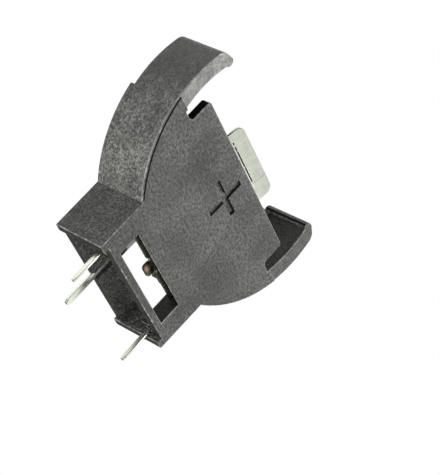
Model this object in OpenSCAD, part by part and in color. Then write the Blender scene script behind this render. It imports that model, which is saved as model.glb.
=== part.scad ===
// Upright through-hole holder for one coin cell, seen from the front as an open ring on a small foot.
// Axes: X along the front plate, Y from the front plate back through the cell, Z up from the board.
// Y = 0 is the front plate's face. Z = 0 is the board's top face. X = 0 is the middle of the holder.

/* [Cell] */
// Diameter of the coin cell
cell_d = 20; // [19:0.1:21]
// Thickness of the coin cell
cell_t = 3.2; // [2.5:0.1:4]
// Clearance all round the cell inside the arms
cell_gap = 0.27; // [0.15:0.01:0.5]
// Clearance behind the cell, in front of the retaining lips
cell_play = 0.15; // [0.05:0.05:0.4]

/* [Housing] */
// Thickness of the curved arms
arm_t = 1.4; // [1:0.1:1.6]
// Angle from straight down to the end of each arm
arm_end = 107.5; // [102:0.5:112]
// How far the rounded arm ends reach in past the arms' inner wall
arm_hook = 0.17; // [0.05:0.01:0.22]
// Angle from straight down where the arms get shallower at the back
arm_step = 75.5; // [70:0.5:80]
// How much deeper the lower part of the arms is than the upper part
arm_extra = 0.43; // [0.2:0.01:0.8]
// Thickness of the front plate
plate_t = 0.9; // [0.7:0.05:1.2]
// Height of the front plate's straight top edge over the board
plate_top = 14.41; // [13.8:0.01:15]
// How far the front plate stands in front of the arms
plate_proud = 0.15; // [0.1:0.01:0.25]
// Radius of the front plate's two top corners
plate_corner_r = 0.3; // [0.2:0.1:0.6]
// Distance from the arm's inner wall to the plate, at the notches
notch_w = 1.25; // [1:0.05:1.6]
// Height of the notch floor over the board
notch_floor = 12.3; // [11.6:0.05:12.6]
// Thickness of the retaining lips behind the notches
lip_t = 0.6; // [0.4:0.05:0.9]
// How far the retaining lips reach in from the arms at their lower end
lip_reach = 1.1; // [0.8:0.05:1.3]

/* [Base] */
// Width of the base
base_w = 12.88; // [12.4:0.02:13.2]
// Lowest point of the cell pocket over the board
saddle_h = 4.44; // [4.2:0.02:5]
// Thickness of the base's two end walls, which are its feet
foot_w = 0.75; // [0.6:0.05:0.9]
// Clearance between the board and the front wall
front_lift = 0.5; // [0.3:0.05:0.7]
// Clearance between the board and the back wall
back_lift = 0.3; // [0.2:0.05:0.6]
// Thickness of the back wall
back_t = 0.9; // [0.8:0.05:1.1]
// Height of the back wall's top over the board
back_top = 2.9; // [2.6:0.05:3.1]
// Wall left between the window and each leg's slot
leg_wall = 0.185; // [0.15:0.005:0.4]
// Height of the window's sill over the board
window_sill = 1.17; // [1:0.01:1.4]
// Height of the window's top edge over the board
window_top = 3.27; // [3.1:0.01:3.5]
// Rise of the window's sloped ceiling through the wall
window_rise = 0.53; // [0.3:0.01:0.7]
// Depth of the end blocks that hold the contact legs
block_d = 1.87; // [1.6:0.01:2.2]
// Start of the relief in the right end wall, back from the front face
relief_y = 3; // [2.6:0.05:3.4]

/* [Plus mark] */
// Length of the plus mark's bars
plus_len = 3.82; // [3:0.02:4.4]
// Width of the plus mark's bars
plus_w = 0.57; // [0.4:0.01:0.8]
// Depth of the plus mark
plus_depth = 0.22; // [0.1:0.01:0.35]
// Height of the plus mark's middle over the board
plus_z = 11.59; // [11:0.01:12]

/* [Contacts] */
// Thickness of the positive contact's sheet
pos_t = 0.25; // [0.2:0.01:0.3]
// Distance between the two positive pins
pin_pitch = 10.16; // [10:0.01:10.3]
// Width of the positive pins, front to back
pos_pin_w = 0.46; // [0.4:0.01:0.6]
// Length of the pins below the board's top face
pin_len = 3; // [2.5:0.1:4]
// Width of the positive contact's tab above the front plate
tab_w = 7.84; // [7:0.02:8.6]
// Height of the tab's top edge over the board
tab_top = 16.35; // [15.8:0.05:17]
// Forward lean of the tab
tab_lean = 10; // [2:1:14]
// Thickness of the negative contact's strip
neg_t = 0.3; // [0.25:0.01:0.35]
// Width of the negative pin
neg_pin_w = 0.62; // [0.5:0.01:0.8]
// Width of the negative spring
spring_w = 1.6; // [1.2:0.05:1.7]
// How far the free spring stands into the cell's space
spring_preload = 0.35; // [0.2:0.05:0.5]
// Clearance at each side of a contact strip in its slot
slot_gap = 0.04; // [0.02:0.01:0.08]

/* [Hidden] */
$fn = 96;
inner_r = cell_d / 2 + cell_gap;
outer_r = inner_r + arm_t;
mid_r = inner_r + arm_t / 2;
centre_z = saddle_h + inner_r;
lip_y = plate_t + pos_t + cell_t + cell_play;
upper_d = lip_y + lip_t;
full_d = upper_d + arm_extra;
nose_r = 0.32;
hook_r = 0.45;
nose_a = arm_end - 3.3;
hook_a = arm_end - 1.7;
plate_x = inner_r - notch_w - 0.25;
plate_r = outer_r - 0.12;
step_z = centre_z - inner_r * cos(arm_step);
side_top = centre_z - sqrt(outer_r * outer_r - base_w * base_w / 4);
back_y = full_d - back_t;
cavity_x = base_w / 2 - foot_w;
leg_x = pin_pitch / 2 + pos_t / 2;
leg_bend = 0.1;
leg_in = 0.2;
slot_in = leg_x - pos_t - leg_bend - leg_in - slot_gap;
window_w = 2 * (slot_in - leg_wall);
bow_start = back_top + 1.1;
body_bottom = window_top + window_rise + 0.45;
lug_bottom = window_top + 0.05;
knob_w = 1.3;
knob_bottom = window_sill + 1.38;
tab_base = plate_top + 0.12;
neg_back = full_d - 0.3;
spring_back = neg_back - neg_t;
cell_back = plate_t + pos_t + cell_t;
bulge_z = centre_z - 3.2;

// A bar with its axis along Y, from y0 to y1, at x and z
module along_y(r, y0, y1, x, z) {
    translate([x, y1, z])
        rotate([90, 0, 0])
            cylinder(r = r, h = y1 - y0);
}

// A box given by its two corners
module span(a, b) {
    translate(a)
        cube(b - a);
}

// Wedge of the full ring between two angles from straight down, on the side s
module wedge(a0, a1, y0, y1, s) {
    translate([0, y1, centre_z])
        rotate([90, 0, 0])
            linear_extrude(height = y1 - y0)
                polygon([
                    [0, 0],
                    [s * 20 * sin(a0), -20 * cos(a0)],
                    [s * 24 * sin((a0 + a1) / 2), -24 * cos((a0 + a1) / 2)],
                    [s * 20 * sin(a1), -20 * cos(a1)]
                ]);
}

// Ring sector on the side s, between two angles from straight down
module ring_part(a0, a1, y0, y1, s) {
    intersection() {
        difference() {
            along_y(outer_r, y0, y1, 0, centre_z);
            along_y(inner_r, y0 - 1, y1 + 1, 0, centre_z);
        }
        wedge(a0, a1, y0 - 0.5, y1 + 0.5, s);
    }
}

// One curved arm with its rounded end
module arm(s) {
    foot_a = asin(cavity_x / outer_r);
    ring_part(foot_a, arm_step, plate_proud, full_d, s);
    ring_part(arm_step - 1, nose_a, plate_proud, upper_d, s);
    arm_tip(s);
}

// Rounded end of an arm: a small outer round, a larger inner one and the web between them
module arm_tip(s) {
    ra = outer_r - nose_r;
    rb = inner_r - arm_hook + hook_r;
    ax = ra * sin(nose_a);
    az = centre_z - ra * cos(nose_a);
    bx = rb * sin(hook_a);
    bz = centre_z - rb * cos(hook_a);
    // Direction square to the flat between the two rounds
    t = atan2(bz - az, bx - ax) - acos((nose_r - hook_r) / norm([bx - ax, bz - az]));
    along_y(nose_r, plate_proud, upper_d, s * ax, az);
    along_y(hook_r, plate_proud, upper_d, s * bx, bz);
    translate([0, upper_d, 0])
        rotate([90, 0, 0])
            linear_extrude(height = upper_d - plate_proud)
                polygon([
                    [s * (ax + (nose_r - 0.005) * cos(t)), az + (nose_r - 0.005) * sin(t)],
                    [s * (bx + (hook_r - 0.005) * cos(t)), bz + (hook_r - 0.005) * sin(t)],
                    [s * bx, bz],
                    [s * (inner_r + 0.1) * sin(nose_a - 1), centre_z - (inner_r + 0.1) * cos(nose_a - 1)],
                    [s * ax, az]
                ]);
}

// Retaining lip behind a notch: a flat flange with a straight inner edge
module lip(s) {
    x0 = inner_r * sin(arm_end) - lip_reach + 0.1;
    intersection() {
        difference() {
            along_y(mid_r, lip_y, upper_d, 0, centre_z);
            span([-20, lip_y - 1, -1], [20, upper_d + 1, notch_floor]);
            span([-x0, lip_y - 1, -1], [x0, upper_d + 1, 30]);
        }
        wedge(60, nose_a, lip_y - 0.5, upper_d + 0.5, s);
    }
}

// Front plate with its two notches and the straight top edge
module plate() {
    difference() {
        union() {
            intersection() {
                along_y(plate_r, 0, plate_t, 0, centre_z);
                span([-20, -1, 0], [20, plate_t + 1, notch_floor]);
            }
            span([-plate_x, 0, notch_floor - 3], [plate_x, plate_t, plate_top - plate_corner_r]);
            span([-plate_x + plate_corner_r, 0, notch_floor], [plate_x - plate_corner_r, plate_t, plate_top]);
            for (s = [-1, 1])
                along_y(plate_corner_r, 0, plate_t, s * (plate_x - plate_corner_r), plate_top - plate_corner_r);
        }
        for (s = [-1, 1])
            notch(s);
    }
}

// Rounded floor of a notch
module notch(s) {
    r = 0.45;
    x0 = plate_x + r;
    x1 = inner_r * sin(arm_step) - 0.08;
    along_y(r, -1, plate_t + 1, s * x0, notch_floor + 0.2);
    span([min(s * x0, s * x1), -1, notch_floor + 0.2 - r], [max(s * x0, s * x1), plate_t + 1, notch_floor + 1]);
}

// The front wall's window with a sloped ceiling
module window() {
    translate([-window_w / 2, 0, 0])
        rotate([90, 0, 90])
            linear_extrude(height = window_w)
                polygon([
                    [-1, window_sill],
                    [plate_t, window_sill],
                    [plate_t, window_top + window_rise],
                    [0, window_top],
                    [-1, window_top]
                ]);
}

// Slots for the positive contact's legs in the end blocks, wider above for its body
module leg_slots() {
    for (s = [-1, 1]) {
        xa = s * slot_in;
        xb = s * (leg_x + slot_gap);
        xd = s * (window_w / 2 - 0.2);
        span([min(xa, xb), plate_t, -1], [max(xa, xb), plate_t + pos_t + slot_gap, centre_z]);
        span([min(xd, xb), plate_t, body_bottom - 0.1], [max(xd, xb), plate_t + pos_t + slot_gap, centre_z]);
        xc = s * (leg_x - pos_t - 0.14);
        span([min(xc, xb), plate_t, -1], [max(xc, xb), plate_t + pos_pin_w + slot_gap, centre_z]);
    }
}

// Solid base before its cavity is cut
module base() {
    half = base_w / 2;
    span([-half, 0, front_lift], [half, plate_t, side_top + 0.5]);
    for (s = [-1, 1]) {
        xa = s * cavity_x;
        xb = s * half;
        span([min(xa, xb), 0, 0], [max(xa, xb), full_d, side_top + 0.5]);
        xc = s * window_w / 2;
        span([min(xc, xb), 0, front_lift], [max(xc, xb), block_d, side_top + 1]);
    }
    span([-half, back_y, back_lift], [half, full_d, back_top]);
}

// Relief in the right end wall, open at the back
module relief() {
    span([cavity_x - 0.2, relief_y, back_top - 0.4], [base_w / 2 + 1, full_d + 1, back_top + 2.3]);
}

// Recessed plus mark
module plus_mark() {
    x = -0.12;
    span([x - plus_len / 2, -1, plus_z - plus_w / 2], [x + plus_len / 2, plus_depth, plus_z + plus_w / 2]);
    span([x - plus_w / 2, -1, plus_z - plus_len / 2], [x + plus_w / 2, plus_depth, plus_z + plus_len / 2]);
}

// Moulded housing: front plate, two arms, lips and hollow base in one piece
module housing() {
    color([0.2, 0.2, 0.2])
        difference() {
            union() {
                plate();
                arm(-1);
                arm(1);
                lip(-1);
                lip(1);
                difference() {
                    base();
                    along_y(inner_r, plate_t, full_d + 1, 0, centre_z);
                }
            }
            window();
            leg_slots();
            relief();
            plus_mark();
            // Groove for the negative strip in the back wall
            span([-neg_pin_w / 2 - slot_gap, back_y - 1, -1], [neg_pin_w / 2 + slot_gap, neg_back, back_top + 1]);
            // Small pit in the inner face of the back wall
            along_y(0.18, back_y - 1, back_y + 0.2, 3.76, 0.85);
        }
}

// Rounded lower tab of the positive contact, where it was cut from its carrier
module knob() {
    r = 0.35;
    half = knob_w / 2;
    span([-half, 0, knob_bottom + r], [half, pos_t, lug_bottom + 0.3]);
    span([-half + r, 0, knob_bottom], [half - r, pos_t, knob_bottom + 1]);
    along_y(r, 0, pos_t, half - r, knob_bottom + r);
    along_y(r, 0, pos_t, r - half, knob_bottom + r);
}

// One side leg of the positive contact: flat part, bend and pin
module leg(s) {
    ri = leg_bend;
    xi = leg_x - pos_t - ri;
    xa = leg_x - pos_t;
    z0 = front_lift + 0.2;
    z1 = body_bottom + 1;
    span([min(s * (xi - leg_in), s * xi), 0, z0], [max(s * (xi - leg_in), s * xi), pos_t, z1]);
    // Bend with its axis along Z
    intersection() {
        difference() {
            translate([s * xi, pos_t + ri, z0])
                cylinder(r = pos_t + ri, h = z1 - z0);
            translate([s * xi, pos_t + ri, z0 - 1])
                cylinder(r = ri, h = z1 - z0 + 2);
        }
        span([min(s * xi, s * (xi + 1)), 0, z0], [max(s * xi, s * (xi + 1)), pos_t + ri, z1]);
    }
    span([min(s * xa, s * leg_x), pos_t + ri, z0], [max(s * xa, s * leg_x), pos_pin_w, z1]);
    pin_blade(s * (leg_x - pos_t / 2), pos_t, z0 + 0.3);
}

// Pin of a positive leg, its two narrow edges tapered to a blunt tip
module pin_blade(x, t, z_top) {
    tip = 0.12;
    translate([x - t / 2, 0, 0])
        rotate([90, 0, 90])
            linear_extrude(height = t)
                polygon([
                    [0, z_top],
                    [0, -pin_len + 0.45],
                    [pos_pin_w / 2 - tip, -pin_len],
                    [pos_pin_w / 2 + tip, -pin_len],
                    [pos_pin_w, -pin_len + 0.45],
                    [pos_pin_w, z_top]
                ]);
}

// Tab above the plate: a rounded plate that leans forward
module tab() {
    r = 0.75;
    half = tab_w / 2;
    h = (tab_top - tab_base) / cos(tab_lean);
    translate([0, 0, tab_base])
        rotate([tab_lean, 0, 0]) {
            span([-half, 0, 0], [half, pos_t, h - r]);
            span([-half + r, 0, 0], [half - r, pos_t, h]);
            along_y(r, 0, pos_t, half - r, h - r);
            along_y(r, 0, pos_t, r - half, h - r);
        }
}

// Positive contact: one stamped sheet flat on the plate's inner face
module positive_contact() {
    body_x = leg_x - pos_t - leg_bend;
    color([0.8, 0.8, 0.76])
        translate([0, plate_t, 0]) {
            difference() {
                union() {
                    span([-body_x, 0, body_bottom], [body_x, pos_t, tab_base - 0.5]);
                    span([0.05 - tab_w / 2, 0, tab_base - 1], [tab_w / 2 - 0.05, pos_t, tab_base + 0.01]);
                    span([-3.2, 0, lug_bottom], [3.2, pos_t, body_bottom + 1]);
                    knob();
                    tab();
                    leg(-1);
                    leg(1);
                }
                // Relief holes at the root of the lower tab
                for (s = [-1, 1])
                    along_y(0.16, -1, pos_t + 1, s * (knob_w / 2 + 0.12), lug_bottom + 0.02);
            }
        }
}

// Side view of the negative contact, as a closed outline in Y and Z, extruded along X
module strip(w, pts) {
    translate([-w / 2, 0, 0])
        rotate([90, 0, 90])
            linear_extrude(height = w)
                polygon(pts);
}

// Front edge of the spring at a height, a smooth bow from the strip to the cell and back
function bow(z) = spring_back - (spring_back - cell_back + spring_preload) * pow(sin(90 * bow_u(z)), 2);
function bow_u(z) = z < bulge_z ? max(0, (z - bow_start) / (bulge_z - bow_start)) : max(0, 1 - (z - bulge_z) / 4.2);

// Negative contact: pin, strip in the back wall and spring behind the cell
module negative_contact() {
    zs = [for (i = [0 : 20]) bow_start + i * (bulge_z + 2 - bow_start) / 20];
    color([0.8, 0.8, 0.76]) {
        // Pin, tapered at both edges to a blunt tip
        translate([0, neg_back, 0])
            rotate([90, 0, 0])
                linear_extrude(height = neg_t)
                    polygon([
                        [-neg_pin_w / 2, back_top],
                        [-neg_pin_w / 2, -pin_len + 0.45],
                        [-0.12, -pin_len],
                        [0.12, -pin_len],
                        [neg_pin_w / 2, -pin_len + 0.45],
                        [neg_pin_w / 2, back_top]
                    ]);
        strip(neg_pin_w, [
            [spring_back, back_top - 0.5],
            [neg_back, back_top - 0.5],
            [neg_back, back_top + 0.6],
            [spring_back, back_top + 0.6]
        ]);
        strip(spring_w, [
            [spring_back, back_top + 0.3],
            [neg_back, back_top + 0.3],
            [neg_back, bow_start],
            [spring_back, bow_start]
        ]);
        strip(spring_w, concat(
            [for (z = zs) [bow(z), z]],
            [for (i = [20 : -1 : 0]) [bow(zs[i]) + neg_t, zs[i]]]
        ));
    }
}

housing();
positive_contact();
negative_contact();
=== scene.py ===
"""Looks for an upright coin cell holder: camera, light, materials and dressed meshes over the CAD frame."""

import math

import bmesh
import bpy
from mathutils import Matrix, Vector


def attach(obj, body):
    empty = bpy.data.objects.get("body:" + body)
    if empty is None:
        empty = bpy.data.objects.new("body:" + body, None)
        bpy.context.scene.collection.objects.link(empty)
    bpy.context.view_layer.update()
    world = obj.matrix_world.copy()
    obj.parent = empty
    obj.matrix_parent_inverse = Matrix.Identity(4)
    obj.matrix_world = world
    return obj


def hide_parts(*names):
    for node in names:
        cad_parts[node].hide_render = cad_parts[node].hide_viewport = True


MM = 0.001

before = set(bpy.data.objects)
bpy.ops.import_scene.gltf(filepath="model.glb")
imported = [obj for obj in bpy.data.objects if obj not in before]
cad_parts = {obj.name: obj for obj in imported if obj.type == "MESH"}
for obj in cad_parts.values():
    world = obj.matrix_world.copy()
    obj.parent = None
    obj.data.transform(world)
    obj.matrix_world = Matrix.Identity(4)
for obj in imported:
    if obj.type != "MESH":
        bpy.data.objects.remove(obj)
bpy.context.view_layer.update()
scene = bpy.context.scene
scene.view_settings.view_transform = "Standard"

# ---------------------------------------------------------------- places and sizes on the holder, in mm
# Lowest point of the cell's pocket over the board, the pocket's radius and the arms' thickness
POCKET_Z = 4.44
RING_IN = 10.27
ARM_T = 1.4
# Height of the ring's axis, its outer radius, and the radius of the plate, which ends a little further in
RING_Z = POCKET_Z + RING_IN
RING_OUT = RING_IN + ARM_T
PLATE_R = RING_OUT - 0.12
# How near to the inner or outer radius the middle of a face of the ring lies
ON_RING = 0.06
# The step from the plate's outline to the arms': its depth, and how near to PLATE_R its faces and edges lie
STEP_Y = 0.15
ON_STEP = 0.1
ON_STEP_EDGE = 0.05
# Heights just under the notches' floor, over which the arms' tops are tips, and over which their inner wall
# gets painted shade
NOTCH_Z = 12.2
TIP_Z = 17.6
WALL_Z = 8.2
# Depths between which the arms' front faces lie, which are set back from the plate's
SET_BACK = (0.1, 0.3)
# Half width, bottom and top of the area round the plus mark, and the least depth of its walls
PLUS_HALF = 2.2
PLUS_LOW = 9
PLUS_HIGH = 14
PLUS_Y = 0.02
# Side faces further out than this belong to the end walls below SIDE_TOP and to the notches above it
SIDE_X = 6.3
SIDE_TOP = 6
# The window's right side wall lies between these places along X and these heights
WINDOW_X = (4, 5)
WINDOW_Z = (1, 4)
# Undersides lower than this look down at the board and get painted shade
UNDER_Z = 0.6
# Places further back than this are the holder's rear
REAR_Y = 4
# Height from which the negative contact's strip has a face painted white, a painted reflection
STRIP_LOW = 1
# Middle of the small pit in the back wall, and how near to it an edge stays sharp
PIT = Vector((3.76, 4.73, 0.85))
PIT_NEAR = 0.3
# Depths between which the hooked inner side of the arms' ends stays sharp, and how far in it starts
HOOK_Y = (0.5, 5)
HOOK_IN = 0.2

# Larger round on the arms' outer end corners: middle and radius, then the cuts' directions in degrees
TIP_MIDDLE = (10.53, 16.95)
TIP_R = 0.9
TIP_TURNS = range(16, 71, 9)
# Least radius and height of the faces on that round
TIP_MIN = 11.1
TIP_LOW = 17
# The strip over the window: its ends in the solids and here, and a height just over it
STRIP_X = 3.2
STRIP_END = 4.38
STRIP_TOP = 4.3

# Widths of the small rounds on the plastic's and the metal's edges, and the steps that each is made of
PLASTIC_ROUND = 0.07
PLASTIC_STEPS = 2
METAL_ROUND = 0.04
METAL_STEPS = 1
# Angles in degrees: faces that turn by less are joined, edges that turn outwards by more get a small round,
# and shading breaks at edges that turn by more
FLAT_ANGLE = 0.5
ROUND_ANGLE = 32
SHARP_ANGLE = 50
# In metres: points nearer to each other are the same point, and points nearer to a cut lie on it
SAME_POINT = 1e-7
ON_CUT = 1e-8
# How near to the strip's end a point of it lies
ON_STRIP_END = 0.01
# How much more the larger faces count in the shading, from 1 to 100
FACE_WEIGHT = 80

# A face looks along an axis if its normal's part along it is over FACING, and across it if under ACROSS
FACING = 0.9
ACROSS = 0.3

# ---------------------------------------------------------------- camera
# Position in mm, then its right, down and forward directions
CAM_POS = (-104.955, -100.806, -42.222)
CAM_RIGHT = (0.33791, -0.68943, 0.64071)
CAM_DOWN = (0.64172, -0.32921, -0.69269)
CAM_FORWARD = (0.68849, 0.64522, 0.33117)
# Focal length and sensor width in mm, then the nearest and furthest distance that it sees in metres
CAM_LENS = 144.63
CAM_SENSOR = 36
CAM_NEAR = 0.01
CAM_FAR = 10


def make_camera():
    data = bpy.data.cameras.new("camera")
    data.sensor_width = CAM_SENSOR
    data.lens = CAM_LENS
    data.clip_start = CAM_NEAR
    data.clip_end = CAM_FAR
    cam = bpy.data.objects.new("camera", data)
    scene.collection.objects.link(cam)
    rows = (Vector(CAM_RIGHT), -Vector(CAM_DOWN), -Vector(CAM_FORWARD))
    turn = Matrix(rows).transposed().to_4x4()
    cam.matrix_world = Matrix.Translation(Vector(CAM_POS) * MM) @ turn
    scene.camera = cam


# ---------------------------------------------------------------- node helpers
def even(level):
    return (level, level, level)


def scaled(colour, factor):
    return tuple(factor * c for c in colour)


def node(tree, kind, **settings):
    made = tree.nodes.new(kind)
    for key, value in settings.items():
        setattr(made, key, value)
    return made


def link(tree, a, b):
    tree.links.new(a, b)


def feed(tree, socket, value):
    """Links a socket to another, or sets it to a plain number or colour."""
    if isinstance(value, tuple):
        socket.default_value = (*value, 1)
    elif isinstance(value, (int, float)):
        socket.default_value = value
    else:
        link(tree, value, socket)


def maths(tree, operation, *values):
    made = node(tree, "ShaderNodeMath", operation=operation)
    for socket, value in zip(made.inputs, values):
        feed(tree, socket, value)
    return made.outputs[0]


def new_material(name):
    """An empty material, its node tree and its Principled shader."""
    mat = bpy.data.materials.new(name)
    mat.use_nodes = True
    tree = mat.node_tree
    tree.nodes.clear()
    out = node(tree, "ShaderNodeOutputMaterial")
    bsdf = node(tree, "ShaderNodeBsdfPrincipled")
    link(tree, bsdf.outputs["BSDF"], out.inputs["Surface"])
    return mat, tree, bsdf


def coords(tree):
    return node(tree, "ShaderNodeTexCoord").outputs["Object"]


def split(tree, at):
    """The X, Y and Z of a place, as sockets by name."""
    parts = node(tree, "ShaderNodeSeparateXYZ")
    link(tree, at, parts.inputs[0])
    return parts.outputs


def noise(tree, at, grain_mm, detail=3.0, rough=0.55):
    made = node(tree, "ShaderNodeTexNoise")
    made.inputs["Scale"].default_value = 1 / (grain_mm * MM)
    made.inputs["Detail"].default_value = detail
    made.inputs["Roughness"].default_value = rough
    link(tree, at, made.inputs["Vector"])
    return made.outputs["Fac"]


def ramp(tree, value, places, colours):
    """Colours that blend into each other, each reached where the value is at its place."""
    made = node(tree, "ShaderNodeValToRGB")
    stops = made.color_ramp.elements
    # A new ramp has two stops
    while len(stops) < len(places):
        stops.new(0.5)
    for stop, place, colour in zip(stops, places, colours):
        stop.position = place
        stop.color = (*colour, 1)
    link(tree, value, made.inputs["Fac"])
    return made.outputs["Color"]


def greys(tree, value, places, levels):
    return ramp(tree, value, places, [even(level) for level in levels])


def levels_at(tree, value, places_mm, levels, top_mm):
    """Grey levels set at lengths in mm, for a value in metres up to top_mm."""
    share = maths(tree, "MULTIPLY", value, 1 / (top_mm * MM))
    return greys(tree, share, [place / top_mm for place in places_mm], levels)


# Places of a Mix node's factor, its two colours and its result among its sockets
MIX_FACTOR = 0
MIX_A = 6
MIX_B = 7
MIX_RESULT = 2


def mix_colour(tree, factor, a, b, blend="MIX"):
    """Mix of two colours, each a socket or a plain colour."""
    made = node(tree, "ShaderNodeMix", data_type="RGBA", blend_type=blend)
    feed(tree, made.inputs[MIX_FACTOR], factor)
    feed(tree, made.inputs[MIX_A], a)
    feed(tree, made.inputs[MIX_B], b)
    return made.outputs[MIX_RESULT]


def multiply(tree, a, b):
    return mix_colour(tree, 1.0, a, b, "MULTIPLY")


def band(tree, value, middle_mm, half_mm):
    """One where a length in metres is within half_mm of middle_mm, else zero."""
    return maths(tree, "COMPARE", value, middle_mm * MM, half_mm * MM)


def distance(tree, at, point_mm):
    made = node(tree, "ShaderNodeVectorMath", operation="DISTANCE")
    link(tree, at, made.inputs[0])
    made.inputs[1].default_value = [c * MM for c in point_mm]
    return made.outputs["Value"]


def bump(tree, height, strength, depth_mm):
    made = node(tree, "ShaderNodeBump")
    made.inputs["Strength"].default_value = strength
    made.inputs["Distance"].default_value = depth_mm * MM
    link(tree, height, made.inputs["Height"])
    return made.outputs["Normal"]


# ---------------------------------------------------------------- plastic
# Slight yellow tint of the grey plastic
TINT = (1.0, 1.0, 0.93)
# Noise levels where the grain is darkest, at its knee and lightest, and how rough that noise is
GRAIN_AT = (0.38, 0.54, 0.64)
GRAIN_ROUGH = 0.6
# Noise levels at the dark and light ends of the mottle and the clouds, and at the ends of the gloss
MOTTLE_AT = (0.36, 0.6)
CLOUD_AT = (0.4, 0.6)
GLOSS_AT = (0.35, 0.65)
# Size of the mottle as a multiple of the grain's
MOTTLE_SIZE = 2.6
# How much rougher the grain's pits and how much smoother its tops are
PIT_ROUGHER = 0.1
TOP_SMOOTHER = 0.08
# Strength of the grain's bumps
PLASTIC_BUMP = 1.0
# Painted highlight along the arms' front edge: middle and half width in mm, then its colour
LIP_HIGHLIGHT_Y = (0.22, 0.1)
LIP_HIGHLIGHT = (0.62, 0.62, 0.6)
# Heights in mm between which the arms' outside fades from its lighter painted sheen to a darker painted
# shade high up
SHADE_FADE_LOW = 7.0
SHADE_FADE_HIGH = 14.0
# Two round mould marks on the plate's front: middle and radius in mm, then strength
MARKS = (((-5.4, 0, 12.0), 1.9, 1.0), ((5.6, 0, 7.8), 1.5, 0.5))
# How far inside and outside its radius a mark starts and ends to fade, in mm
MARK_FADE = (-0.4, 0.3)
# Length in mm that the scale of the marks' fading runs to
MARK_TOP = 5
# The marks' coarser grain: size in mm, noise levels at its ends, and how dark it is there
MARK_GRAIN = 0.48
MARK_AT = (0.44, 0.6)
MARK_LEVELS = (0.3, 0.95)


def tinted(level):
    return scaled(TINT, level)


def add_lip_highlight_and_upper_shade(tree, at, colour, upper):
    """A painted highlight along the arms' front edge, and another, darker colour high up as painted shade.
    """
    place = split(tree, at)
    fade = node(tree, "ShaderNodeMapRange")
    link(tree, place["Z"], fade.inputs["Value"])
    fade.inputs["From Min"].default_value = SHADE_FADE_LOW * MM
    fade.inputs["From Max"].default_value = SHADE_FADE_HIGH * MM
    colour = mix_colour(tree, band(tree, place["Y"], *LIP_HIGHLIGHT_Y), colour, LIP_HIGHLIGHT)
    return mix_colour(tree, fade.outputs["Result"], colour, upper)


def add_mark(tree, at, colour, middle_mm, radius, strength):
    """A round mark with a coarser, darker grain."""
    ends = [radius + fade for fade in MARK_FADE]
    inside = levels_at(tree, distance(tree, at, middle_mm), ends, (strength, 0), MARK_TOP)
    coarse = greys(tree, noise(tree, at, MARK_GRAIN, detail=2.0), MARK_AT, MARK_LEVELS)
    return mix_colour(tree, inside, colour, multiply(tree, colour, coarse))


def plastic(
    name, dark, light, roughness, depth_mm=0.03, grain_mm=0.2, specular=0.5, detail=4.0,
    knee=0.35, mottle=0.62, cloud=0.82, cloud_mm=2.3, upper=None, marks=(),
):
    """Moulded plastic with a spark-eroded texture: fine grain, mottle and broad clouds.

    Dark and light are the grain's grey levels, and knee is its middle level. Mottle and cloud are the
    darkest factors of the two wider patterns. Upper is a pair of darker grey levels for high up, a painted
    shade, and with it comes the painted highlight along the arms' front edge.
    """
    mat, tree, bsdf = new_material(name)
    at = coords(tree)
    fine = noise(tree, at, grain_mm, detail, GRAIN_ROUGH)
    grain = greys(tree, fine, GRAIN_AT, (0, knee, 1))
    colour = mix_colour(tree, grain, tinted(dark), tinted(light))
    # Painted highlight along the front edge and painted shade high up
    if upper:
        colour = add_lip_highlight_and_upper_shade(tree, at, colour, mix_colour(tree, grain, tinted(upper[0]), tinted(upper[1])))
    dots = greys(tree, noise(tree, at, grain_mm * MOTTLE_SIZE), MOTTLE_AT, (mottle, 1))
    colour = multiply(tree, colour, dots)
    for mark in marks:
        colour = add_mark(tree, at, colour, *mark)
    shade = greys(tree, noise(tree, at, cloud_mm, detail=2.0), CLOUD_AT, (cloud, 1))
    rough = greys(tree, fine, GLOSS_AT, (roughness + PIT_ROUGHER, roughness - TOP_SMOOTHER))
    link(tree, multiply(tree, colour, shade), bsdf.inputs["Base Color"])
    link(tree, rough, bsdf.inputs["Roughness"])
    bsdf.inputs["Specular IOR Level"].default_value = specular
    link(tree, bump(tree, fine, PLASTIC_BUMP, depth_mm), bsdf.inputs["Normal"])
    return mat


PLATE = plastic(
    "plate_plastic", 0.015, 0.148, 0.46, 0.045, 0.25,
    detail=3.0, knee=0.72, mottle=0.8, cloud=0.42, cloud_mm=4.0, marks=MARKS,
)
# The arms' outside: a lighter copy of the plastic as painted sheen, with painted shade high up and a painted
# highlight along the front edge
ARM_SHEEN = plastic(
    "arm_sheen_plastic", 0.11, 0.58, 0.40, 0.05,
    knee=0.55, cloud=0.7, cloud_mm=2.5, upper=(0.03, 0.12),
)
SIDE = plastic("side_plastic", 0.015, 0.18, 0.5, 0.035, knee=0.45, cloud=0.7, cloud_mm=3.0)
# Two copies of one plastic for the arms' front faces over the notches: the left with painted light, the
# right with painted shade
RIM_LIT = plastic("rim_painted_light_plastic", 0.32, 0.50, 0.5)
RIM_SHADE = plastic("rim_painted_shade_plastic", 0.07, 0.15, 0.5)
INNER = plastic("inner_plastic", 0.04, 0.3, 0.55, specular=0.4)
# Painted shade: a near black copy of the plastic for the plus mark's walls, the step round the plate and the
# notches' side faces
DEEP_SHADE = plastic("deep_painted_shade_plastic", 0.004, 0.012, 0.7, 0.02, specular=0.1)
# Painted shade: a dark copy for the arms' inner wall high up and the window's right side wall
WALL_SHADE = plastic("wall_painted_shade_plastic", 0.02, 0.06, 0.6, 0.02, specular=0.3)
# Painted shade: a dark copy with little gloss for the undersides near the board
UNDER_SHADE = plastic("under_painted_shade_plastic", 0.03, 0.07, 0.6, 0.02, specular=0.2)
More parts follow.
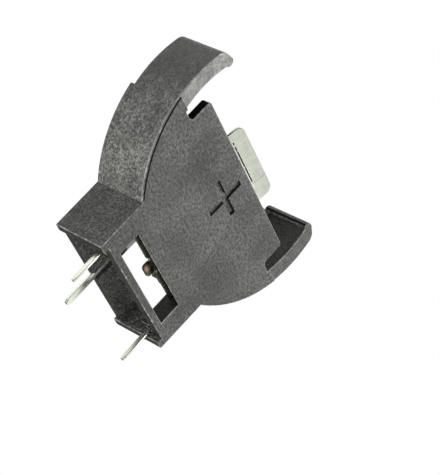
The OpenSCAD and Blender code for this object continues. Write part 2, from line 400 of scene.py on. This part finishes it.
# Painted highlight: a lighter copy of the plastic for the small rounds on the edges and the arms' front
# faces under the notches
EDGE_HIGHLIGHT = plastic("edge_highlight_plastic", 0.2, 0.8, 0.35, 0.02, 0.4)
HOUSING = [PLATE, ARM_SHEEN, SIDE, RIM_LIT, RIM_SHADE, INNER, DEEP_SHADE, WALL_SHADE, UNDER_SHADE, EDGE_HIGHLIGHT]

# ---------------------------------------------------------------- metal
# Sheared spot on the lower tab of the positive contact, where the plating is gone: place and radii in mm
COPPER_AT = (-0.22, 0.9, 3.0)
COPPER_R = (0.2, 0.42)
COPPER = (0.46, 0.29, 0.21)
# Inside the base the painted shade turns olive grey between these heights in mm, just over the sheet's cut
# lower edge
OLIVE_Z = (3.33, 3.37)
OLIVE = (0.42, 0.43, 0.33)
# Only the positive contact, in front of this Y in mm, gets painted shade inside the base
INNER_SHADE_Y = 2.5
# Heights in mm where the painted shade fades in and out
INNER_SHADE_Z = (1.2, 1.5, 4.2, 5.0)
# The pins are made brighter, fading out between these heights in mm
PINS_Z = (0, 1.2)
PIN_FACTOR = 1.4
# Lengths in mm that the scales of the heights and of the copper spot run to
METAL_TOP = 10
COPPER_TOP = 1
# Painted shadow as a dark broken line along the foot of the tab, and a faint painted dark line across the
# tab: middle and half width, in mm
TAB_SHADOW_Y = 0.95
TAB_SHADOW_Z = (15.01, 0.06)
TAB_SHADOW_X = (-0.5, 2.5)
TAB_SHADOW = (0.02, 0.02, 0.018)
CROSS_LINE_X = (2.0, 0.04)
CROSS_LINE_STRENGTH = 0.35
# Size in mm of the gaps in the line, and the noise level over which it shows
GAP_SIZE = 0.7
GAP_LEVEL = 0.47
# Faint duller spots: size in mm, noise levels at their ends, and their factor
SPOT_SIZE = 0.5
SPOT_AT = (0.35, 0.65)
SPOT_FACTOR = 0.88
# Rolling lines: how they are squeezed along X, Y and Z, their size in mm and noise levels at their ends
LINE_SQUEEZE = (12, 12, 1)
LINE_SIZE = 3.0
LINE_AT = (0.3, 0.7)
# The lines' change of roughness at those ends, the strength of their bumps and their depth in mm
LINE_ROUGH = (-0.05, 0.07)
LINE_BUMP = 0.3
LINE_DEPTH = 0.004


def masks(tree, *values):
    """Product of several masks."""
    product = values[0]
    for value in values[1:]:
        product = maths(tree, "MULTIPLY", product, value)
    return product


def plated(tree, at, place, colour):
    """The bare sheet: faint spots, and brighter pins."""
    dim = scaled(colour, SPOT_FACTOR)
    sheet = ramp(tree, noise(tree, at, SPOT_SIZE), SPOT_AT, (dim, colour))
    pins = levels_at(tree, place["Z"], PINS_Z, (1, 0), METAL_TOP)
    return mix_colour(tree, pins, sheet, scaled(colour, PIN_FACTOR))


def add_inner_shade(tree, at, place, colour, inner):
    """Painted shade inside the base: a dull, darker colour, with the copper spot and the olive face."""
    height = levels_at(tree, place["Z"], INNER_SHADE_Z, (0, 1, 1, 0), METAL_TOP)
    inside = masks(tree, height, maths(tree, "LESS_THAN", place["Y"], INNER_SHADE_Y * MM))
    bare = levels_at(tree, distance(tree, at, COPPER_AT), COPPER_R, (1, 0), COPPER_TOP)
    face = levels_at(tree, place["Z"], OLIVE_Z, (0, 1), METAL_TOP)
    dull = mix_colour(tree, face, mix_colour(tree, bare, inner, COPPER), OLIVE)
    return mix_colour(tree, inside, colour, dull)


def add_tab_shadow(tree, at, place, colour):
    """Painted shadow as a dark broken line along the foot of the tab, and a faint painted dark line across
    it.
    """
    front = maths(tree, "LESS_THAN", place["Y"], TAB_SHADOW_Y * MM)
    gaps = maths(tree, "GREATER_THAN", noise(tree, at, GAP_SIZE, detail=1.0), GAP_LEVEL)
    foot = band(tree, place["Z"], *TAB_SHADOW_Z)
    foot_shadow = masks(tree, gaps, foot, band(tree, place["X"], *TAB_SHADOW_X), front)
    colour = mix_colour(tree, foot_shadow, colour, TAB_SHADOW)
    above = maths(tree, "GREATER_THAN", place["Z"], TAB_SHADOW_Z[0] * MM)
    cross_line = masks(tree, above, band(tree, place["X"], *CROSS_LINE_X), front, CROSS_LINE_STRENGTH)
    return mix_colour(tree, cross_line, colour, TAB_SHADOW)


def metal(name, colour, inner, roughness, metallic=1.0):
    """Nickel-plated sheet with faint rolling lines, painted shade inside the base and a painted shadow at
    the tab's foot.
    """
    mat, tree, bsdf = new_material(name)
    at = coords(tree)
    place = split(tree, at)
    whole = plated(tree, at, place, colour)
    # Painted shade inside the base
    whole = add_inner_shade(tree, at, place, whole, inner)
    # Painted shadow at the tab's foot
    whole = add_tab_shadow(tree, at, place, whole)
    squeeze = node(tree, "ShaderNodeMapping")
    link(tree, at, squeeze.inputs["Vector"])
    squeeze.inputs["Scale"].default_value = LINE_SQUEEZE
    lines = noise(tree, squeeze.outputs["Vector"], LINE_SIZE, detail=4.0)
    rough = greys(tree, lines, LINE_AT, [roughness + change for change in LINE_ROUGH])
    link(tree, whole, bsdf.inputs["Base Color"])
    link(tree, rough, bsdf.inputs["Roughness"])
    bsdf.inputs["Metallic"].default_value = metallic
    link(tree, bump(tree, lines, LINE_BUMP, LINE_DEPTH), bsdf.inputs["Normal"])
    return mat


# The strip's face toward the plate is painted near white, a painted reflection of the white surroundings, as
# white inside the base as above it
REFLECTION_WHITE = (0.85, 0.86, 0.82)
# The second colour of each metal is its painted shade inside the base
NICKEL = metal("nickel_plate", (0.60, 0.62, 0.54), (0.10, 0.10, 0.07), 0.22)
SHEARED = metal("sheared_edge", (0.14, 0.145, 0.13), (0.05, 0.05, 0.04), 0.35)
STRIP_REFLECTION = metal("strip_painted_reflection", REFLECTION_WHITE, REFLECTION_WHITE, 0.7, 0.3)


# ---------------------------------------------------------------- finishes, and copies with painted light and shade, by place
def ring_radius(at):
    """Distance from the axis of the arms' ring."""
    return math.hypot(at.x, at.z - RING_Z)


def is_near_plus(at):
    """True on the plate's front, on and round the plus mark."""
    return at.y < SET_BACK[1] and abs(at.x) < PLUS_HALF and PLUS_LOW < at.z < PLUS_HIGH


def is_in_plus(at):
    """True on the walls and the floor of the plus mark."""
    return at.y > PLUS_Y and is_near_plus(at)


def pick_front(at):
    """The finish for a face that looks forward; the arms' front faces get painted light and shade."""
    if SET_BACK[0] < at.y < SET_BACK[1]:
        if at.z > NOTCH_Z:
            # The left rim gets painted light and the right rim painted shade
            return RIM_LIT if at.x < 0 else RIM_SHADE
        if ring_radius(at) > RING_IN / 2:
            # The arms' front faces under the notches get the painted highlight
            return EDGE_HIGHLIGHT
    return PLATE if at.y < SET_BACK[1] and not is_in_plus(at) else INNER


def pick_wall(at, normal):
    """The finish for a wall that runs from front to back, with painted light and shade in some places, or
    none where its direction decides.
    """
    radius = ring_radius(at)
    if abs(radius - RING_OUT) < ON_RING or (radius > TIP_MIN and at.z > TIP_LOW):
        return ARM_SHEEN
    # Painted shade on the plus mark's walls and the step's side faces
    if is_in_plus(at) or (at.y < STEP_Y and abs(radius - PLATE_R) < ON_STEP):
        return DEEP_SHADE
    if at.z > TIP_Z:
        return SIDE
    # Painted shade on the arms' inner wall high up and on the window's right side wall
    if abs(radius - RING_IN) < ON_RING and at.z > WALL_Z:
        return WALL_SHADE
    in_window = WINDOW_X[0] < at.x < WINDOW_X[1] and WINDOW_Z[0] < at.z < WINDOW_Z[1]
    return WALL_SHADE if normal.x < -FACING and in_window else None


def pick_plastic(at, normal):
    """The finish for a face of the housing, by its place and direction, with painted light and shade in some
    places.
    """
    if normal.y < -FACING:
        return pick_front(at)
    wall = pick_wall(at, normal) if abs(normal.y) < ACROSS else None
    if wall is not None:
        return wall
    if abs(normal.x) > FACING and abs(at.x) > SIDE_X:
        # The notches' side faces get painted shade
        return SIDE if at.z < SIDE_TOP else DEEP_SHADE
    # Undersides near the board get painted shade
    if normal.z < -FACING and at.z < UNDER_Z:
        return UNDER_SHADE
    return SIDE if normal.y > FACING else INNER


def pick_strip(at, normal):
    """The finish for a face of the negative contact: matt and near white, a painted reflection, where it
    faces the plate.
    """
    return STRIP_REFLECTION if normal.y < -FACING and at.y > REAR_Y and at.z > STRIP_LOW else NICKEL


def gets_edge_highlight(at):
    """True for edges of the housing that get a small round with a painted highlight."""
    radius = ring_radius(at)
    in_pit = (at - PIT).length < PIT_NEAR
    on_step = at.y < SET_BACK[0] and abs(radius - PLATE_R) < ON_STEP_EDGE
    in_hook = at.z > TIP_Z and radius < RING_OUT - HOOK_IN and HOOK_Y[0] < at.y < HOOK_Y[1]
    return not (in_pit or is_near_plus(at) or on_step or in_hook)


# ---------------------------------------------------------------- changes of shape
def round_tips(bm):
    """Cuts the outer corner of both arms' ends along flats that follow the round."""
    for side in (-1, 1):
        for turn in TIP_TURNS:
            angle = math.radians(turn)
            out = Vector((side * math.cos(angle), 0, math.sin(angle)))
            middle = Vector((side * TIP_MIDDLE[0], 0, TIP_MIDDLE[1]))
            cut = bmesh.ops.bisect_plane(
                bm,
                geom=bm.verts[:] + bm.edges[:] + bm.faces[:],
                dist=ON_CUT,
                plane_co=(middle + out * TIP_R) * MM,
                plane_no=out,
                clear_outer=True,
            )
            rim = [e for e in cut["geom_cut"] if isinstance(e, bmesh.types.BMEdge)]
            bmesh.ops.edgeloop_fill(bm, edges=rim)
    bmesh.ops.recalc_face_normals(bm, faces=bm.faces)


def widen_strip(bm):
    """Moves the two ends of the strip over the window outwards."""
    for v in bm.verts:
        x = v.co.x / MM
        if abs(abs(x) - STRIP_X) < ON_STRIP_END and v.co.z / MM < STRIP_TOP:
            v.co.x = math.copysign(STRIP_END * MM, x)


# ---------------------------------------------------------------- dressed meshes
def joined_mesh(source, reshape):
    """A CAD node's mesh with its flat faces joined, and its shape changed if reshape is given."""
    bm = bmesh.new()
    bm.from_mesh(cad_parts[source].data)
    bmesh.ops.remove_doubles(bm, verts=bm.verts, dist=SAME_POINT)
    bmesh.ops.dissolve_limit(
        bm, angle_limit=math.radians(FLAT_ANGLE), verts=bm.verts, edges=bm.edges, delimit=set()
    )
    if reshape:
        reshape(bm)
    bm.normal_update()
    return bm


def outer_edges(bm, keep):
    """The edges that get a small round: they turn outwards, and keep, if given, says yes."""
    found = []
    for e in bm.edges:
        middle = (e.verts[0].co + e.verts[1].co) / (2 * MM)
        wanted = keep is None or keep(middle)
        if wanted and e.calc_face_angle_signed(0) > math.radians(ROUND_ANGLE):
            found.append(e)
    return found


def round_edges(bm, edges, width_mm, steps, material):
    """Rounds the edges slightly, and returns the faces of the rounds."""
    made = bmesh.ops.bevel(
        bm,
        geom=edges,
        offset=width_mm * MM,
        offset_type="OFFSET",
        segments=steps,
        profile=0.5,
        affect="EDGES",
        clamp_overlap=False,
        miter_outer="SHARP",
        miter_inner="SHARP",
        material=material,
    )
    return made["faces"]


def finish_mesh(name, bm, mats):
    """A mesh from bm, smooth apart from its sharp edges, with its materials."""
    for f in bm.faces:
        f.smooth = True
    mesh = bpy.data.meshes.new(name)
    bm.to_mesh(mesh)
    bm.free()
    mesh.set_sharp_from_angle(angle=math.radians(SHARP_ANGLE))
    for mat in mats:
        mesh.materials.append(mat)
    return mesh


def dressed(name, source, width_mm, steps, mats, pick=None, keep=None, reshape=None):
    """A piece over a CAD node: its mesh with sharp edges slightly rounded, in the last of the materials.

    Pick gives the material of a face, keep says which edges are rounded, and reshape changes the mesh first.
    """
    bm = joined_mesh(source, reshape)
    if pick:
        for f in bm.faces:
            f.material_index = mats.index(pick(f.calc_center_median() / MM, f.normal))
    rounds = round_edges(bm, outer_edges(bm, keep), width_mm, steps, len(mats) - 1)
    if SIDE in mats:
        for f in rounds:
            # At the rear the rounds keep the plain dark finish, without the painted highlight
            if f.calc_center_median().y / MM > REAR_Y:
                f.material_index = mats.index(SIDE)
    obj = bpy.data.objects.new(name, finish_mesh(name, bm, mats))
    scene.collection.objects.link(obj)
    mod = obj.modifiers.new("normals", "WEIGHTED_NORMAL")
    mod.mode = "FACE_AREA"
    mod.weight = FACE_WEIGHT
    mod.keep_sharp = True
    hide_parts(source)
    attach(obj, "root")
    return obj


# ---------------------------------------------------------------- stage
# The white floor: half its side and its height in metres, its noise in mm with the levels at its ends, its
# greys there and its roughness
FLOOR_HALF = 3.0
FLOOR_Z = -0.06
FLOOR_GRAIN = 40
FLOOR_AT = (0.3, 0.7)
FLOOR_LEVELS = (0.84, 0.88)
FLOOR_ROUGH = 0.9
# Brightness of the white surroundings as a light, and as seen directly or in a gloss
WORLD_LIGHT = 0.35
WORLD_SEEN = 1.0
# The point that the lights look at, in metres
LIT_POINT = Vector((0, 0.0025, 0.008))


def make_floor():
    bm = bmesh.new()
    bmesh.ops.create_grid(bm, x_segments=1, y_segments=1, size=FLOOR_HALF)
    mesh = bpy.data.meshes.new("floor")
    bm.to_mesh(mesh)
    bm.free()
    obj = bpy.data.objects.new("floor", mesh)
    obj.location = (0, 0, FLOOR_Z)
    scene.collection.objects.link(obj)
    mat, tree, bsdf = new_material("floor_paint")
    paint = greys(tree, noise(tree, coords(tree), FLOOR_GRAIN), FLOOR_AT, FLOOR_LEVELS)
    link(tree, paint, bsdf.inputs["Base Color"])
    bsdf.inputs["Roughness"].default_value = FLOOR_ROUGH
    mesh.materials.append(mat)


def white(tree, strength):
    made = node(tree, "ShaderNodeBackground")
    made.inputs["Color"].default_value = (1, 1, 1, 1)
    made.inputs["Strength"].default_value = strength
    return made.outputs[0]


def make_world():
    """White surroundings that look full white but light the holder less."""
    world = bpy.data.worlds.new("world")
    scene.world = world
    world.use_nodes = True
    tree = world.node_tree
    tree.nodes.clear()
    ray = node(tree, "ShaderNodeLightPath").outputs
    seen = maths(tree, "MAXIMUM", ray["Is Camera Ray"], ray["Is Glossy Ray"])
    mix = node(tree, "ShaderNodeMixShader")
    link(tree, seen, mix.inputs["Fac"])
    link(tree, white(tree, WORLD_LIGHT), mix.inputs[1])
    link(tree, white(tree, WORLD_SEEN), mix.inputs[2])
    out = node(tree, "ShaderNodeOutputWorld")
    link(tree, mix.outputs[0], out.inputs["Surface"])


def make_light(name, direction, away, size, power):
    """A square soft light that looks at the holder's middle: lengths in metres, power in watts."""
    data = bpy.data.lights.new(name, "AREA")
    data.size = size
    data.energy = power
    obj = bpy.data.objects.new(name, data)
    towards = Vector(direction).normalized()
    obj.location = LIT_POINT + towards * away
    obj.rotation_euler = (-towards).to_track_quat("-Z", "Y").to_euler()
    scene.collection.objects.link(obj)


# ---------------------------------------------------------------- the scene
make_camera()
housing = dressed(
    "housing_body", "housing", PLASTIC_ROUND, PLASTIC_STEPS, HOUSING,
    pick=pick_plastic, keep=gets_edge_highlight, reshape=round_tips,
)
positive = dressed(
    "positive_sheet", "positive_contact", METAL_ROUND, METAL_STEPS, [NICKEL, SHEARED],
    reshape=widen_strip,
)
negative = dressed(
    "negative_strip", "negative_contact", METAL_ROUND, METAL_STEPS, [NICKEL, STRIP_REFLECTION, SHEARED],
    pick=pick_strip,
)
make_floor()
make_world()
make_light("key", (0.6, -0.8, 0.9), away=0.5, size=0.35, power=1.6)
make_light("side", (-0.9, 0.1, 0.2), away=0.6, size=0.35, power=0.8)
